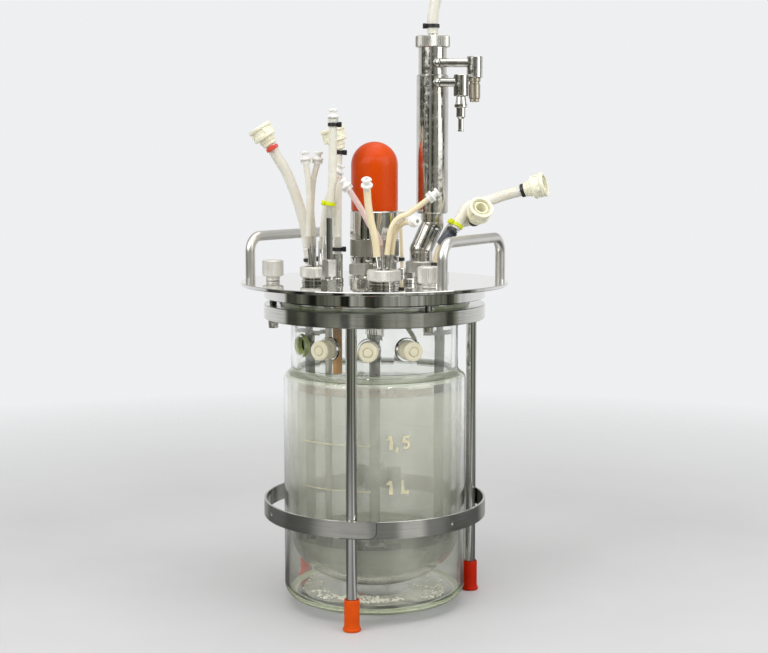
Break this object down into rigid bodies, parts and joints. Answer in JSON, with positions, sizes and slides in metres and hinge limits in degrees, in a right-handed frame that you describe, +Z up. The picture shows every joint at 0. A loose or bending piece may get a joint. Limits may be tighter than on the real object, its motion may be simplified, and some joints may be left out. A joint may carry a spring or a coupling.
{
  "type": "bench bioreactor",
  "caption": "Jacketed glass bench bioreactor on a three-legged steel stand, with a clamped head plate, stirrer, condenser, side ports and silicone hoses.",
  "frame": {"origin": "on the bench under the vessel's axis, at the level the feet stand on", "axes": "+Z up along the vessel's axis, -Y towards the front leg and the volume marks, +X to the viewer's right"},
  "size_m": [0.2608, 0.2274, 0.5595],
  "materials": {
    "borosilicate_glass": "clear, faintly green",
    "polished_steel": "mirror polished stainless steel",
    "satin_steel": "turned, fine satin",
    "bronze_steel": "tarnished",
    "orange_rubber": "matt silicone rubber",
    "gasket_rubber": "matt",
    "amber_silicone": "translucent",
    "cream_silicone": "matt",
    "clear_silicone": "translucent, milky",
    "tan_silicone": "matt, slightly translucent",
    "fitting_plastic": "translucent",
    "tie_nylon": "moulded nylon"
  },
  "bodies": {
    "vessel_stand": {"glass_vessel": "borosilicate_glass", "water_jacket": "borosilicate_glass", "jacket_nozzles": "borosilicate_glass", "clamp_ring": "polished_steel", "support_band": "polished_steel", "leg_front": "polished_steel", "leg_right": "polished_steel", "leg_left": "polished_steel", "foot_front": "orange_rubber", "foot_right": "orange_rubber", "foot_left": "orange_rubber", "lid_gasket": "gasket_rubber", "head_plate": "polished_steel", "handle_right": "satin_steel", "handle_left": "satin_steel", "clamp_studs": "satin_steel", "baffle_cage": "satin_steel", "drive_housing": "polished_steel", "port_insert_left": "polished_steel", "port_insert_front": "polished_steel", "gland_bodies": "satin_steel", "sampling_pipe": "polished_steel", "air_port": "satin_steel", "inner_sleeves": "amber_silicone", "small_plug": "satin_steel", "hose_barbs": "satin_steel", "condenser_body": "polished_steel", "coolant_coupler": "bronze_steel", "coolant_nipple": "polished_steel", "hose_harvest": "clear_silicone", "hose_feed_1": "clear_silicone", "hose_feed_2": "clear_silicone", "hose_feed_3": "clear_silicone", "hose_sample": "clear_silicone", "hose_air": "clear_silicone", "hose_acid": "clear_silicone", "hose_base": "tan_silicone", "hose_antifoam": "tan_silicone", "hose_medium": "tan_silicone", "hose_bypass": "tan_silicone", "hose_transfer": "clear_silicone", "hose_spare": "clear_silicone", "hose_vent_thin": "tan_silicone", "hose_vent": "clear_silicone", "hose_fittings": "fitting_plastic", "cable_ties": "tie_nylon"},
    "stirrer": {"stirrer_shaft": "polished_steel", "impeller_upper": "satin_steel", "impeller_lower": "satin_steel"},
    "cap": {"drive_cap": "orange_rubber"},
    "clamp_nut_front": {"clamp_nut_front": "satin_steel"},
    "clamp_nut_rear": {"clamp_nut_rear": "satin_steel"},
    "clamp_nut_left": {"clamp_nut_left": "satin_steel"},
    "collar_left": {"collar_left": "satin_steel"},
    "collar_front": {"collar_front": "satin_steel"},
    "gland_nut": {"gland_nut": "satin_steel"},
    "blind_nut": {"blind_nut": "satin_steel"},
    "condenser_collar": {"condenser_collar": "satin_steel"},
    "condenser_nut": {"condenser_nut": "satin_steel"},
    "side_plug_left": {"side_plug_left": "cream_silicone"},
    "side_plug_middle": {"side_plug_middle": "cream_silicone"},
    "side_plug_right": {"side_plug_right": "cream_silicone"}
  },
  "joints": [
    {"name": "stirrer_spin", "type": "hinge", "parent": "vessel_stand", "child": "stirrer", "pos_m": [0, 0, 0.25], "axis": [0, 0, 1], "continuous": true},
    {"name": "cap_lift", "type": "slide", "parent": "vessel_stand", "child": "cap", "axis": [0, 0, 1], "range_m": [0, 0.06]},
    {"name": "clamp_nut_front_turn", "type": "hinge", "parent": "vessel_stand", "child": "clamp_nut_front", "pos_m": [0.04325, -0.07491, 0.2785], "axis": [0, 0, 1], "continuous": true},
    {"name": "clamp_nut_rear_turn", "type": "hinge", "parent": "vessel_stand", "child": "clamp_nut_rear", "pos_m": [0.04325, 0.07491, 0.2785], "axis": [0, 0, 1], "continuous": true},
    {"name": "clamp_nut_left_turn", "type": "hinge", "parent": "vessel_stand", "child": "clamp_nut_left", "pos_m": [-0.0865, 0, 0.2785], "axis": [0, 0, 1], "continuous": true},
    {"name": "collar_left_turn", "type": "hinge", "parent": "vessel_stand", "child": "collar_left", "pos_m": [-0.049, -0.0145, 0.2785], "axis": [0, 0, 1], "continuous": true},
    {"name": "collar_front_turn", "type": "hinge", "parent": "vessel_stand", "child": "collar_front", "pos_m": [0.0075, -0.0525, 0.2785], "axis": [0, 0, 1], "continuous": true},
    {"name": "gland_nut_turn", "type": "hinge", "parent": "vessel_stand", "child": "gland_nut", "pos_m": [-0.037, -0.045, 0.2785], "axis": [0, 0, 1], "continuous": true},
    {"name": "blind_nut_turn", "type": "hinge", "parent": "vessel_stand", "child": "blind_nut", "pos_m": [-0.013, -0.0365, 0.2785], "axis": [0, 0, 1], "continuous": true},
    {"name": "condenser_collar_turn", "type": "hinge", "parent": "vessel_stand", "child": "condenser_collar", "pos_m": [0.0395, 0.004, 0.2785], "axis": [0, 0, 1], "continuous": true},
    {"name": "condenser_nut_turn", "type": "hinge", "parent": "vessel_stand", "child": "condenser_nut", "pos_m": [0.0489, 0.004, 0.4756], "axis": [0, 0, 1], "continuous": true},
    {"name": "side_plug_left_pull", "type": "slide", "parent": "vessel_stand", "child": "side_plug_left", "axis": [-0.5105, -0.8599, 0], "range_m": [0, 0.02]},
    {"name": "side_plug_middle_pull", "type": "slide", "parent": "vessel_stand", "child": "side_plug_middle", "axis": [-0.0628, -0.998, 0], "range_m": [0, 0.02]},
    {"name": "side_plug_right_pull", "type": "slide", "parent": "vessel_stand", "child": "side_plug_right", "axis": [0.3567, -0.9342, 0], "range_m": [0, 0.02]}
  ]
}
